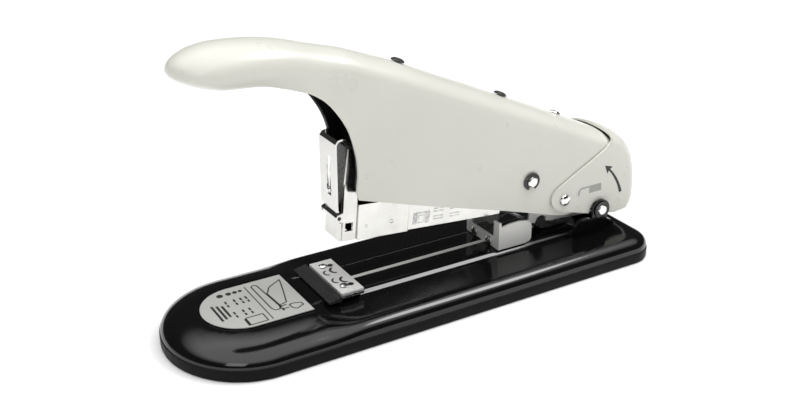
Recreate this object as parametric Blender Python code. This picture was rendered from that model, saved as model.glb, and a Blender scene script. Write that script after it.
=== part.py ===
"""Manual heavy-duty stapler, built as separate pieces on their real joints.

Lengths in the tables are millimetres.  +X runs from the grip to the hinge, +Z is up.
Pieces of the head are drawn in the head's own level frame: origin on the hinge pin,
x along the magazine (negative towards the nose), z square to it.
"""
import math
import bpy
import bmesh
from mathutils import Matrix, Vector

# ---- driving dimensions (mm) ----
BASE_HALF_LENGTH = 134.5
BASE_HALF_WIDTH = 42.5
BASE_CORNER = 15.0
BASE_FRONT = 41.0          # length of the rounded front end
SKIRT_TOP = 6.1
ORIGIN_X = 3.25            # the base's centre to the middle of the whole object
HINGE = (110.0, 26.5)      # head hinge, x and z
HEAD_TILT = 4.8            # degrees the head stands open above level
PIVOT = (-49.0, 22.0)      # handle pivot in the head's level frame
CAP_RIVET = (85.4, 37.0)
CLIP_PIN = (-156.9, 13.9)  # nose clip's pin in the level frame
SHEET = 1.2                # cover, cap and lever sheet
MAG_HALF = 8.0             # magazine half width
PIN_R = 3.0
PIN_HOLE_R = 3.1
GAP = 0.3

MM = 0.001
TILT = math.radians(HEAD_TILT)
COLOURS = {
    "cover": ((0.83, 0.83, 0.78, 1), 0.32, 0.0),
    "gloss_black": ((0.012, 0.012, 0.013, 1), 0.12, 0.0),
    "matt_black": ((0.022, 0.023, 0.025, 1), 0.6, 0.0),
    "black_steel": ((0.03, 0.03, 0.032, 1), 0.35, 0.6),
    "chrome": ((0.78, 0.78, 0.77, 1), 0.12, 1.0),
    "plated": ((0.72, 0.72, 0.70, 1), 0.28, 1.0),
    "spring": ((0.45, 0.45, 0.46, 1), 0.3, 1.0),
    "label": ((0.55, 0.55, 0.52, 1), 0.4, 0.3),
}


def clear_scene():
    for ob in list(bpy.data.objects):
        bpy.data.objects.remove(ob)


def collection(name):
    col = bpy.data.collections.new(name)
    bpy.context.scene.collection.children.link(col)
    return col


def material(name, kind):
    colour, rough, metal = COLOURS[kind]
    mat = bpy.data.materials.new(name)
    mat.use_nodes = True
    bsdf = mat.node_tree.nodes["Principled BSDF"]
    bsdf.inputs["Base Color"].default_value = colour
    bsdf.inputs["Roughness"].default_value = rough
    bsdf.inputs["Metallic"].default_value = metal
    mat.diffuse_color = colour
    return mat


def empty(name, at, parent=None, tilt=0.0):
    ob = bpy.data.objects.new(name, None)
    PARTS.objects.link(ob)
    ob.location = (at[0] * MM, 0.0, at[1] * MM)
    ob.rotation_euler = (0.0, tilt, 0.0)
    ob.parent = parent
    return ob


def node(name, bm, kind, parent, at=(0.0, 0.0), smooth=False):
    """Store a bmesh drawn in mm as one piece whose origin is at `at` of its frame."""
    bmesh.ops.remove_doubles(bm, verts=bm.verts, dist=1e-4)
    bmesh.ops.recalc_face_normals(bm, faces=bm.faces)
    if bm.calc_volume(signed=True) < 0:
        bmesh.ops.reverse_faces(bm, faces=bm.faces)
    bmesh.ops.translate(bm, verts=bm.verts, vec=(-at[0], 0.0, -at[1]))
    bmesh.ops.scale(bm, verts=bm.verts, vec=(MM, MM, MM))
    me = bpy.data.meshes.new(name)
    bm.to_mesh(me)
    bm.free()
    if smooth:
        me.shade_smooth()
        me.set_sharp_from_angle(angle=math.radians(35))
    ob = bpy.data.objects.new(name, me)
    me.materials.append(material(name, kind))
    ob.parent = parent
    PARTS.objects.link(ob)
    return ob


def cutter(name, bm, parent, at=(0.0, 0.0)):
    bmesh.ops.recalc_face_normals(bm, faces=bm.faces)
    if bm.calc_volume(signed=True) < 0:
        bmesh.ops.reverse_faces(bm, faces=bm.faces)
    bmesh.ops.translate(bm, verts=bm.verts, vec=(-at[0], 0.0, -at[1]))
    bmesh.ops.scale(bm, verts=bm.verts, vec=(MM, MM, MM))
    me = bpy.data.meshes.new(name)
    bm.to_mesh(me)
    bm.free()
    ob = bpy.data.objects.new(name, me)
    ob.parent = parent
    ob.display_type = "WIRE"
    ob.hide_render = True
    CUTTERS.objects.link(ob)
    return ob


def cut(ob, tool):
    mod = ob.modifiers.new("cut_" + tool.name, "BOOLEAN")
    mod.operation = "DIFFERENCE"
    mod.solver = "EXACT"
    mod.object = tool
    mod.use_self = ob.name == "base_shell"


def spot(plane, u, v, w):
    """A point from two in-plane coordinates and one along the extrusion."""
    if plane == "XZ":
        return (u, w, v)
    if plane == "YZ":
        return (w, u, v)
    return (u, v, w)


def prism(pts, a, b, plane="XZ"):
    bm = bmesh.new()
    face = bm.faces.new([bm.verts.new(spot(plane, u, v, a)) for u, v in pts])
    out = bmesh.ops.extrude_face_region(bm, geom=[face])
    moved = [e for e in out["geom"] if isinstance(e, bmesh.types.BMVert)]
    bmesh.ops.translate(bm, verts=moved, vec=spot(plane, 0.0, 0.0, b - a))
    return bm


def block(x, y, z):
    bm = bmesh.new()
    middle = Vector(((x[0] + x[1]) / 2, (y[0] + y[1]) / 2, (z[0] + z[1]) / 2))
    size = (x[1] - x[0], y[1] - y[0], z[1] - z[0], 1.0)
    bmesh.ops.create_cube(bm, size=1.0, matrix=Matrix.Translation(middle) @ Matrix.Diagonal(size))
    return bm


def ring(cx, cz, r, n=24, start=0.0, sweep=360.0):
    steps = n if sweep >= 360 else n + 1
    return [(cx + r * math.cos(math.radians(start + sweep * k / n)),
             cz + r * math.sin(math.radians(start + sweep * k / n))) for k in range(steps)]


def rod(c, r, a, b, plane="XZ", n=24):
    """A round bar between a and b, square to the named plane."""
    bm = bmesh.new()
    turn = {"XY": Matrix.Identity(4), "XZ": Matrix.Rotation(math.pi / 2, 4, "X"),
            "YZ": Matrix.Rotation(math.pi / 2, 4, "Y")}[plane]
    middle = Matrix.Translation(spot(plane, c[0], c[1], (a + b) / 2))
    bmesh.ops.create_cone(bm, cap_ends=True, segments=n, radius1=r, radius2=r, depth=b - a,
                          matrix=middle @ turn)
    return bm


def turned(profile, centre, axis, n=24):
    """Spin a profile of (radius, distance along the axis) into a closed piece."""
    bm = bmesh.new()
    axis = Vector(axis).normalized()
    side = axis.orthogonal().normalized()
    vs = [bm.verts.new(Vector(centre) + side * r + axis * t) for r, t in profile]
    edges = [bm.edges.new((p, q)) for p, q in zip(vs, vs[1:])]
    bmesh.ops.spin(bm, geom=vs + edges, cent=centre, axis=axis, dvec=(0, 0, 0),
                   angle=2 * math.pi, steps=n, use_duplicate=False)
    bmesh.ops.remove_doubles(bm, verts=bm.verts, dist=1e-3)
    return bm


def skin(outer, inner, pole=False):
    """Join two like grids of points into one closed sheet body."""
    bm = bmesh.new()
    grids = []
    for rows in (outer, inner):
        grids.append([[bm.verts.new(p) for p in row] for row in rows])
    rows, cols = len(outer), len(outer[0])
    for g, flip in ((grids[0], False), (grids[1], True)):
        for i in range(rows - 1):
            for j in range(cols - 1):
                quad = [g[i][j], g[i + 1][j], g[i + 1][j + 1], g[i][j + 1]]
                bm.faces.new(quad[::-1] if flip else quad)
    out, inn = grids
    for i in range(rows - 1):
        for j in (0, cols - 1):
            bm.faces.new([out[i][j], out[i + 1][j], inn[i + 1][j], inn[i][j]])
    for i in ([rows - 1] if pole else [0, rows - 1]):
        for j in range(cols - 1):
            bm.faces.new([out[i][j], out[i][j + 1], inn[i][j + 1], inn[i][j]])
    if pole:
        bmesh.ops.pointmerge(bm, verts=out[0], merge_co=out[0][0].co)
        bmesh.ops.pointmerge(bm, verts=inn[0], merge_co=inn[0][0].co)
    return bm


def strip(path, t):
    """Outline of a bent sheet of thickness t round an open XZ path."""
    left, right = [], []
    for k, p in enumerate(path):
        a = Vector(path[max(k - 1, 0)])
        b = Vector(path[min(k + 1, len(path) - 1)])
        d = (b - a).normalized()
        n = Vector((-d.y, d.x)) * t / 2
        left.append(tuple(Vector(p) + n))
        right.append(tuple(Vector(p) - n))
    return left + right[::-1]


def lerp(table, x):
    if x <= table[0][0]:
        return table[0][1]
    for (x0, v0), (x1, v1) in zip(table, table[1:]):
        if x <= x1:
            return v0 + (v1 - v0) * (x - x0) / (x1 - x0)
    return table[-1][1]


# ---- base ----
def half_width(x, inset=0.0):
    """Half width of the base's outline at x, moved in by inset."""
    hl, hw = BASE_HALF_LENGTH - inset, BASE_HALF_WIDTH - inset
    front = -BASE_HALF_LENGTH + BASE_FRONT
    rc = BASE_CORNER - inset
    if x < front:
        u = min(1.0, (front - x) / (BASE_FRONT - inset))
        return hw * math.sqrt(max(0.0, 1.0 - u * u))
    if x > hl - rc:
        u = min(rc, x - (hl - rc))
        return hw - rc + math.sqrt(max(0.0, rc * rc - u * u))
    return hw


def outline(inset, n=14):
    front = -BASE_HALF_LENGTH + BASE_FRONT
    hl, hw, rc = BASE_HALF_LENGTH - inset, BASE_HALF_WIDTH - inset, BASE_CORNER - inset
    pts = []
    for k in range(2 * n + 1):
        a = math.radians(90 + 180 * k / (2 * n))
        pts.append((front + (BASE_FRONT - inset) * math.cos(a), hw * math.sin(a)))
    for cy, a0 in ((-1, -90), (1, 0)):
        for k in range(9):
            a = math.radians(a0 + 90 * k / 8)
            pts.append((hl - rc + rc * math.cos(a), cy * (hw - rc) + rc * math.sin(a)))
    return pts


def make_skirt():
    rows = [(3.0, 2.2), (3.0, SKIRT_TOP), (0.4, SKIRT_TOP), (0.0, 5.6), (0.0, 0.8), (0.8, 0.0)]
    bm = bmesh.new()
    loops = [[bm.verts.new((x, y, z)) for x, y in outline(d)] for d, z in rows]
    n = len(loops[0])
    for a, b in zip(loops, loops[1:]):
        for k in range(n):
            bm.faces.new([a[k], a[(k + 1) % n], b[(k + 1) % n], b[k]])
    bm.faces.new(loops[0])
    bm.faces.new(loops[-1][::-1])
    return node("base_skirt", bm, "matt_black", ROOT, smooth=True)


SHOULDER = [(0, 6.4), (0.4, 9.0), (1.6, 11.2), (4, 12.5), (8, 12.95), (60, 12.95)]
FRONT_DOME = [(0, 6.4), (0.8, 8.6), (3, 10.7), (8, 12.9), (14, 14.5), (21, 15.25), (60, 15.25)]
EDGE_LINES = [0.0, 0.4, 1.6, 4.0, 8.0]


def shell_height(x, y, edge):
    """Height of the shell's outer face at a point `edge` mm inside its rim."""
    w = min(1.0, max(0.0, (-46.0 - x) / 22.0))
    front = w * w * (3 - 2 * w)
    ridge = lerp([(0, 2.0), (13, 2.0), (14.2, 1.5), (15.2, 0.4), (16.5, 0.0)], abs(y))
    ridge *= min(1.0, max(0.0, (126.0 - x) / 4.0))
    back = lerp(SHOULDER, edge) + ridge
    return back * (1 - front) + lerp(FRONT_DOME, edge) * front


def shell_rows(inset, drop):
    hl = BASE_HALF_LENGTH - inset
    front = -BASE_HALF_LENGTH + BASE_FRONT
    xs = [front - (BASE_FRONT - inset) * math.sin(math.radians(a))
          for a in (86, 78, 70, 60, 50, 40, 30, 20, 10)]
    xs += [front, -84, -74, -66, -58, -50, -40, -10, 30, 70, 100, 118, 122, 126,
           hl - 4.0, hl - 1.6, hl - 0.4, hl]
    rows = []
    for x in xs:
        w = half_width(x, inset)
        scale = min(1.0, w / 12.0)
        left = w - EDGE_LINES[-1] * scale
        inner = [16.5, 14.9, 13.0, 6.5, 0.0] if left > 19 else [left * f for f in
                                                                 (0.86, 0.76, 0.66, 0.33, 0)]
        ys = [w - e * scale for e in EDGE_LINES] + inner
        row = []
        for y in [-v for v in ys] + ys[::-1][1:]:
            edge = min(w - abs(y), hl - x)
            u = math.hypot((front - x) / (BASE_FRONT - inset), y / (BASE_HALF_WIDTH - inset))
            if x < front:
                edge = max(0.0, 1.0 - u) * BASE_FRONT
            if x == xs[0]:
                edge = 0.0
            z = shell_height(x, y, max(0.0, edge)) - drop
            row.append((x, y, max(z, SHOULDER[0][1])))
        rows.append(row)
    return rows


def make_shell():
    bm = skin(shell_rows(0.5, 0.0), shell_rows(1.8, SHEET))
    ob = node("base_shell", bm, "gloss_black", ROOT, smooth=True)
    cut(ob, cutter("cut_rail_slot", block((-35.3, 80.3), (-1.5, 1.5), (8, 20)), ROOT))
    for side, tag in ((-1, "l"), (1, "r")):
        y = sorted((side * 18.9, side * 21.3))
        cut(ob, cutter("cut_ear_slot_" + tag, block((91.6, 115.4), y, (8, 20)), ROOT))


def make_base():
    make_skirt()
    make_shell()
    tee = [(-5, 12.2), (5, 12.2), (5, 13.4), (1.2, 13.4), (1.2, 15.1), (-1.2, 15.1),
           (-1.2, 13.4), (-5, 13.4)]
    node("stop_guide_rail", prism(tee, -35, 80, "YZ"), "chrome", ROOT)
    node("anvil_base", block((-50.4, -37.4), (-17.9, 17.9), (15.3, 16.9)), "plated", ROOT)
    ob = node("anvil_plate", block((-49.9, -37.6), (-17.65, 17.65), (17.2, 18.4)), "chrome", ROOT)
    for side, tag in ((-1, "l"), (1, "r")):
        groove = [(p[0], side * p[1]) for p in
                  ring(-41.0, 5.6, 3.6, 8, 110, 140) + ring(-41.0, 5.6, 2.2, 8, 250, -140)]
        cut(ob, cutter("cut_clinch_" + tag, prism(groove, 17.7, 19.0, "XY"), ROOT))
        cut(ob, cutter("cut_anvil_hole_" + tag, rod((-45.3, side * 11.6), 1.6, 16, 20, "XY", 16),
                       ROOT))
        head = [(0, 0.35), (1.5, 0.35), (1.5, 1.55), (2.4, 1.55), (2.2, 2.2), (1.2, 2.6), (0, 2.7)]
        node("anvil_rivet_" + tag, turned(head, (-45.3, side * 11.6, 16.95), (0, 0, 1), 16),
             "chrome", ROOT, smooth=True)
    ramp = [(-57.8, 15.35), (-50.8, 15.35), (-50.8, 17.8), (-57.8, 16.3)]
    ob = node("anvil_ramp", prism(ramp, -20, 20), "matt_black", ROOT)
    label = [(-66, -19.9)] + [(-66, 19.9)] + ring(-95, 0, 19.9, 20, 90, 180)
    node("instruction_label", prism(label, 15.55, 15.9, "XY"), "label", ROOT)
    make_hinge_bracket()
    leaf = strip([(97, 15.75), (84, 15.75), (81.5, 16.2), (79, 17.4), (62, 28.6), (58.5, 30.7),
                  (56, 31.1), (53, 30.2)], 0.8)
    ob = node("lift_spring", prism(leaf, -6, 6), "spring", ROOT)
    cut(ob, cutter("cut_leaf_hole", rod((91, 0), 1.6, 14, 18, "XY", 16), ROOT))
    cut(bpy.data.objects["base_shell"],
        cutter("cut_shell_hole", rod((91, 0), 1.6, 12, 18, "XY", 16), ROOT))
    shank = [(0, 0), (2.6, 0), (2.6, 0.8), (1.5, 0.8), (1.5, 3.5), (2.8, 3.5), (2.2, 4.4), (0, 4.7)]
    node("lift_spring_rivet", turned(shank, (91, 0, 12.9), (0, 0, 1), 16), "plated", ROOT,
         smooth=True)


def make_hinge_bracket():
    hx, hz = HINGE
    ear = [(92, 8.4), (113.5, 8.4), (113.5, 17)] + ring(hx, hz, 5.7, 12, -20, 205)
    ear += [(103.6, 22.2), (102.2, 22.6), (100, 23.6), (96.6, 23.6), (94, 22.4), (92.4, 19.8),
            (92, 16.5)]
    bm = prism(ear, -21, 21)
    ob = node("hinge_bracket", bm, "gloss_black", ROOT)
    cut(ob, cutter("cut_bracket", block((80, 130), (-19.2, 19.2), (9.9, 60)), ROOT))
    cut(ob, cutter("cut_bracket_pin", rod(HINGE, PIN_HOLE_R, -30, 30), ROOT))
    profile = [(0, -22.4), (2.5, -22.4), (PIN_R, -21.9), (PIN_R, 21.9), (2.5, 22.4), (0, 22.4)]
    node("hinge_pin", turned(profile, (hx, 0, hz), (0, 1, 0)), "chrome", ROOT, smooth=True)
    for side, tag in ((-1, "l"), (1, "r")):
        clip_ring("hinge_clip_" + tag, (hx, hz), side, 21.3, 22.1, ROOT, (0, 0))


def clip_ring(name, c, side, y0, y1, parent, at):
    """An open retaining clip round a pin, its mouth facing down."""
    pts = ring(c[0], c[1], 4.9, 20, -65, 310) + ring(c[0], c[1], PIN_R + 0.05, 20, 245, -310)
    a, b = sorted((side * y0, side * y1))
    return node(name, prism(pts, a, b), "chrome", parent, at)


# ---- head, drawn in the level frame ----
def make_magazine():
    h = MAG_HALF
    for name, top, a, b, kind in (("magazine_channel", 19.0, -147, -60, "chrome"),
                                  ("magazine_rear", 18.5, -59.7, -41.3, "matt_black")):
        u = [(-h, 1.7), (h, 1.7), (h, top), (h - 1, top), (h - 1, 2.7), (-h + 1, 2.7),
             (-h + 1, top), (-h, top)]
        node(name, prism(u, a, b, "YZ"), kind, HEAD)
    rail = [(-5.5, 3.0), (-4.5, 3.0), (-4.5, 15.6), (4.5, 15.6), (4.5, 3.0), (5.5, 3.0),
            (5.5, 16.6), (-5.5, 16.6)]
    ob = node("staple_rail", prism(rail, -146.5, -45, "YZ"), "plated", HEAD)
    cut(ob, cutter("cut_rail_top", block((-141, -50), (-1.3, 1.3), (15, 18)), HEAD))
    cover = [(-9.2, 1.5), (-8.3, 1.5), (-8.3, 19.3), (8.3, 19.3), (8.3, 1.5), (9.2, 1.5),
             (9.2, 20.2), (-9.2, 20.2)]
    node("nose_cover", prism(cover, -147, -118, "YZ"), "chrome", HEAD)
    node("nose_plate", block((-156.2, -155.2), (-7.45, 7.45), (1.55, 11.3)), "chrome", HEAD)
    side_rail = [(-154.9, 1.55), (-154.9, 11.4)] + ring(*CLIP_PIN, 1.9, 8, 260, -160)
    side_rail += [(-154.9, 16.6), (-154.9, 30), (-153.9, 49), (-149.6, 49), (-147.3, 20),
                  (-147.3, 1.55)]
    for side, tag in ((-1, "l"), (1, "r")):
        a, b = sorted((side * 6.7, side * 8.0))
        ob = node("nose_rail_" + tag, prism(side_rail, a, b), "plated", HEAD)
        cut(ob, cutter("cut_window_" + tag, block((-153.5, -149.2), (a - 1, b + 1), (6.6, 11)),
                       HEAD))
        cut(ob, cutter("cut_clip_pin_" + tag, rod(CLIP_PIN, 1.0, a - 1, b + 1, n=16), HEAD))
    pin = [(0, -8.3), (0.9, -8.3), (0.9, 8.3), (0, 8.3)]
    node("nose_pin", turned(pin, (CLIP_PIN[0], 0, CLIP_PIN[1]), (0, 1, 0), 12), "plated", HEAD,
         smooth=True)
    node("spring_seat", block((-98, -80), (-8, 8), (19.3, 20.4)), "plated", HEAD)


def make_chassis():
    px, pz = PIVOT
    side = [(-41, -6.6), (-41, 7.6), (-60, 7.6), (-60, 17), (-56.6, 24)]
    side += ring(px, pz, 7.2, 8, 165, -110) + [(-32, 19.2), (-10, 9)]
    side += ring(0, 0, 7, 14, 105, -195)
    side += [(-28.5, -6.9), (-29.2, -4.4), (-31.2, -3.2), (-33.4, -3.2), (-35.4, -4.4),
             (-36, -6.8)]
    ob = node("chassis_frame", prism(side, -9.5, 9.5), "chrome", HEAD)
    low = [(-75, -20), (20, -20), (20, 16), (-36, 16), (-36, 17.3), (-75, 17.3)]
    high = [(-75, 17.2), (-16, 17.2), (-16, 15.9), (20, 15.9), (20, 45), (-75, 45)]
    cut(ob, cutter("cut_chassis_low", prism(low, -8.3, 8.3), HEAD))
    cut(ob, cutter("cut_chassis_high", prism(high, -8.3, 8.3), HEAD))
    for name, c in (("hinge", (0.0, 0.0)), ("pivot", PIVOT)):
        cut(ob, cutter("cut_chassis_" + name, rod(c, PIN_HOLE_R, -12, 12), HEAD))


def coil(name, base, r, wire, length, turns, kind, parent):
    """Compression spring standing on `base`, wound up the frame's Z."""
    bm = bmesh.new()
    steps = 14 * turns
    pts = [bm.verts.new((base[0] + r + wire * math.cos(a), base[1], base[2] + wire +
                         wire * math.sin(a))) for a in [math.tau * k / 6 for k in range(6)]]
    face = bm.faces.new(pts)
    lift = (length - 2 * wire) / steps
    bmesh.ops.spin(bm, geom=[face], cent=base, axis=(0, 0, 1), dvec=(0, 0, lift),
                   angle=math.tau * turns, steps=steps, use_duplicate=False)
    return node(name, bm, kind, parent, smooth=True)


def make_nose_clip():
    cx, cz = CLIP_PIN
    path = [(-157.9, 15.3), (-158.2, 18), (-160.9, 50), (-160.9, 52), (-159.8, 53.6),
            (-157.2, 54.3), (-154.4, 53.6), (-152.6, 51.9), (-152.0, 50.4)]
    body = strip(path, 1.0)
    n = len(path)
    barrel = ring(cx, cz, 1.75, 12, 112, 300)
    ob = node("nose_clip", prism(body[1:n] + body[n:2 * n - 1] + barrel[::-1], -8.15, 8.15),
              "chrome", CLIP, CLIP_PIN)
    for side, tag in ((-1, "l"), (1, "r")):
        a, b = sorted((side * 6.4, side * 12.0))
        cut(ob, cutter("cut_clip_side_" + tag, block((-165, -150), (a, b), (8, 17.4)), HEAD))
    cut(ob, cutter("cut_clip_slot", block((-165, -155.5), (-2.9, 1.3), (24.4, 44.6)), HEAD))
    cut(ob, cutter("cut_clip_barrel", rod(CLIP_PIN, 1.0, -12, 12, n=16), HEAD))
    stud = [(0, -1.6), (1.2, -1.4), (1.8, -0.6), (1.8, 0.4), (1.2, 1.2), (0, 1.5)]
    node("clip_stud", turned(stud, (-159.1, -0.8, 26.6), (-1, 0, -0.08), 16), "chrome", CLIP,
         CLIP_PIN, smooth=True)


def make_driver():
    frame = [(-6.3, 42), (6.3, 42), (6.3, 50), (-6.3, 50)]
    ob = node("driver_block", prism(frame, -153.1, -145, "YZ"), "black_steel", HEAD)
    cut(ob, cutter("cut_driver_slot", block((-156, -140), (-2.7, 2.7), (43.5, 48.5)), HEAD))
    node("driver_blade", block((-154.4, -153.4), (-6.3, 6.3), (19.3, 49.5)), "spring", HEAD)


def make_pusher():
    saddle = [(-6.8, 5), (-5.8, 5), (-5.8, 16.9), (-1.0, 16.9), (-1.0, 6.2), (1.0, 6.2),
              (1.0, 16.9), (5.8, 16.9), (5.8, 5), (6.8, 5), (6.8, 18.4), (-6.8, 18.4)]
    node("pusher_block", prism(saddle, -140.6, -131, "YZ"), "matt_black", HEAD)
    out, inn = [], []
    for k in range(41):
        a = math.radians(-90 + 27 * k)
        r = 1.6 + 2.5 * k / 40
        out.append((-126.4 + (r + 0.18) * math.cos(a), 9.4 + (r + 0.18) * math.sin(a)))
        inn.append((-126.4 + (r - 0.18) * math.cos(a), 9.4 + (r - 0.18) * math.sin(a)))
    node("pusher_spring", prism(out + inn[::-1], -3.6, 3.6), "spring", HEAD)


# ---- handle ----
TOP_HALF = [(-100, 17.0), (-85, 16.6), (-70, 15.2), (-58, 14.3), (-45, 14.0), (-30, 14.9),
            (-10, 16.1), (10, 16.7), (60, 17.0), (140, 17.0)]
# lower edge point, crown point, dome height, inward curl of the lower edge
COVER = [
    ((-121.0, 137.4), (-121.0, 137.4), 0.1, 0.0), ((-120.2, 135.2), (-120.2, 140.0), 3.4, .3),
    ((-118.0, 133.4), (-118.0, 142.2), 6.4, .3), ((-114.0, 131.8), (-114.0, 144.3), 9.0, .3),
    ((-108.0, 130.3), (-108.0, 146.2), 11.0, .3), ((-100.0, 129.0), (-99.0, 147.3), 12.4, .28),
    ((-91.0, 128.6), (-88.0, 147.0), 12.6, .26), ((-82.0, 127.9), (-78.0, 145.9), 12.4, .22),
    ((-73.0, 125.4), (-69.0, 144.1), 12.0, .15), ((-66.0, 123.0), (-61.5, 142.0), 11.5, .08),
    ((-60.9, 121.1), (-56.0, 140.3), 11.2, 0), ((-54.2, 116.5), (-51.0, 138.9), 11.0, 0),
    ((-49.3, 111.3), (-46.5, 137.7), 10.8, 0), ((-44.7, 104.5), (-42.5, 136.6), 10.5, 0),
    ((-41.7, 98.4), (-39.0, 135.6), 10.4, 0), ((-39.7, 92.0), (-36.0, 134.6), 10.2, 0),
    ((-38.2, 84.5), (-33.0, 133.5), 10.0, 0), ((-37.8, 76.6), (-30.0, 132.4), 10.0, 0),
    ((-38.5, 68.9), (-26.5, 131.0), 9.8, 0), ((-37.5, 64.0), (-22.0, 129.3), 9.6, 0),
    ((-20.0, 58.9), (-8.0, 123.9), 9.4, 0), ((1.4, 52.5), (10.0, 115.6), 9.2, 0),
    ((22.0, 46.5), (30.0, 106.8), 9.0, 0), ((44.5, 39.9), (52.0, 96.9), 8.6, 0),
    ((66.0, 33.2), (74.0, 87.1), 8.3, 0), ((85.1, 27.4), (95.0, 77.4), 8.0, 0),
    ((96.0, 28.0), (104.0, 73.2), 8.0, 0), ((103.0, 32.0), (111.0, 70.0), 7.0, 0),
    ((110.0, 35.0), (118.0, 66.4), 6.0, 0), ((116.0, 35.5), (124.0, 61.0), 6.0, 0),
    ((119.0, 36.0), (127.0, 52.0), 6.0, 0)]
CAP = [
    ((115.8, 65.0), (117.4, 69.0), 4.1, 0), ((113.6, 62.6), (120.6, 68.3), 7.0, 0),
    ((110.6, 60.2), (125.0, 66.2), 8.6, 0), ((96.0, 52.4), (131.0, 62.3), 9.5, 0),
    ((86.0, 47.2), (135.3, 57.5), 10, 0), ((79.4, 43.2), (138.0, 52.0), 10, 0),
    ((76.9, 39.4), (139.6, 46.0), 10, 0), ((77.6, 35.2), (140.5, 40.0), 10, 0),
    ((82.0, 31.4), (141.0, 34.0), 10, 0), ((96.0, 26.9), (141.0, 29.0), 10, 0),
    ((106.0, 24.0), (140.2, 25.4), 10, 0), ((122.0, 21.0), (138.6, 22.6), 10, 0)]


def cover_half(x):
    if x < -100:
        return 17.0 * math.sqrt(max(0.0, 1 - ((-100 - x) / 21.0) ** 2))
    return lerp(TOP_HALF, x)


def section(sec, half, side_in, crown_in, lift=0.0, flats=3, arcs=5):
    """Points of one sheet section, from the near lower edge over the crown to the far one."""
    (bx, bz), (tx, tz), dome, curl = sec
    b, t = Vector((bx, bz)), Vector((tx, tz))
    length = max((t - b).length, 1e-6)
    d = (t - b) / length
    top = length - crown_in
    dome = min(dome, length * 0.98)
    s0 = length - dome
    stations = [(lift + (s0 - lift) * k / flats, None) for k in range(flats)]
    stations += [(None, math.radians(90.0 * k / arcs)) for k in range(arcs + 1)]
    pts = []
    for s, phi in stations:
        if phi is None:
            p = b + d * s
            y = half(p.x) - side_in
            y *= 1 - curl * ((s0 - s) / max(s0, 1e-6)) ** 2
        else:
            s = s0 + (top - s0) * math.sin(phi)
            p = b + d * s
            y = max(0.0, half(p.x) - side_in) * math.cos(phi)
        pts.append((p.x, max(y, 0.0), p.y))
    near = [(x, -y, z) for x, y, z in pts[:-1]]
    return near + [(pts[-1][0], 0.0, pts[-1][2])] + [(x, y, z) for x, y, z in pts[:-1][::-1]]


def crown_at(x):
    """Crown height and slope of the cover at x."""
    for a, b in zip(COVER[1:], COVER[2:]):
        (x0, z0), (x1, z1) = a[1], b[1]
        if x0 <= x <= x1:
            k = (z1 - z0) / (x1 - x0)
            return z0 + k * (x - x0), k
    return COVER[-1][1][1], -1.0


def make_cover():
    outer = [section(s, cover_half, 0.0, 0.0) for s in COVER]
    inner = [section(s, cover_half, SHEET, SHEET) for s in COVER]
    inner[0] = [(p[0] + 1.6, 0.0, p[2]) for p in inner[0]]
    ob = node("handle_cover", skin(outer, inner, pole=True), "cover", HANDLE, P_WORLD,
              smooth=True)
    liner = [(s, 1.0 if k < 8 else 10.0) for k, s in enumerate(COVER[11:25])]
    outer = [section(s, cover_half, SHEET + GAP, 1.9, up, 2, 4) for s, up in liner]
    inner = [section(s, cover_half, 2 * SHEET + GAP, 3.1, up, 2, 4) for s, up in liner]
    lever = node("handle_lever", skin(outer, inner), "matt_black", HANDLE, P_WORLD, smooth=True)
    hole = cutter("cut_cover_pivot", rod(P_WORLD, PIN_HOLE_R, -30, 30), ROOT)
    cut(ob, hole)
    cut(lever, hole)
    cut(ob, cutter("cut_cover_rivet", rod(CAP_RIVET, 2.1, -30, 30, n=16), ROOT))
    for k, x in enumerate((-8.0, 53.0, 90.0)):
        z, slope = crown_at(x)
        axis = Vector((-slope, 0, 1)).normalized()
        if x < 80:
            prof = [(0, -4.6), (2.6, -4.6), (2.6, -3.7), (1.5, -3.7), (1.5, 0.35), (3.6, 0.35),
                    (3.3, 1.2), (2.0, 1.8), (0, 2.0)]
        else:
            prof = [(0, -2.6), (2.6, -2.6), (2.6, -1.6), (1.5, -1.6), (1.5, 0.35), (3.2, 0.35),
                    (2.8, 1.0), (1.6, 1.4), (0, 1.5)]
        node("cover_rivet_%d" % (k + 1), turned(prof, (x, 0, z), axis, 16),
             "black_steel" if x < 80 else "plated", HANDLE, P_WORLD, smooth=True)
        bore = turned([(0, -9), (1.65, -9), (1.65, 6), (0, 6)], (x, 0, z), axis, 16)
        hole = cutter("cut_top_rivet_%d" % (k + 1), bore, ROOT)
        cut(ob, hole)
        if x < 70:
            cut(lever, hole)


def make_press_arm():
    """Plate under the lever whose rounded finger works the driver block."""
    level = [(-146, 45), (-141.5, 45), (-139.5, 43.5), (-136, 44), (-130, 56), (-124, 68),
             (-114, 73.5), (-114, 76.0), (-120.5, 77.6), (-130.5, 80.6), (-130.5, 83.6),
             (-137, 85.8), (-139.5, 74), (-139.3, 49), (-140.3, 46.8), (-146, 46.8)]
    level += ring(-148, 46, 2.0, 8, 24, 312)
    c, s = math.cos(TILT), math.sin(TILT)
    world = [(HINGE[0] + x * c + z * s, HINGE[1] - x * s + z * c) for x, z in level]
    node("press_arm", prism(world, -2.2, 2.2), "black_steel", HANDLE, P_WORLD)


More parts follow.
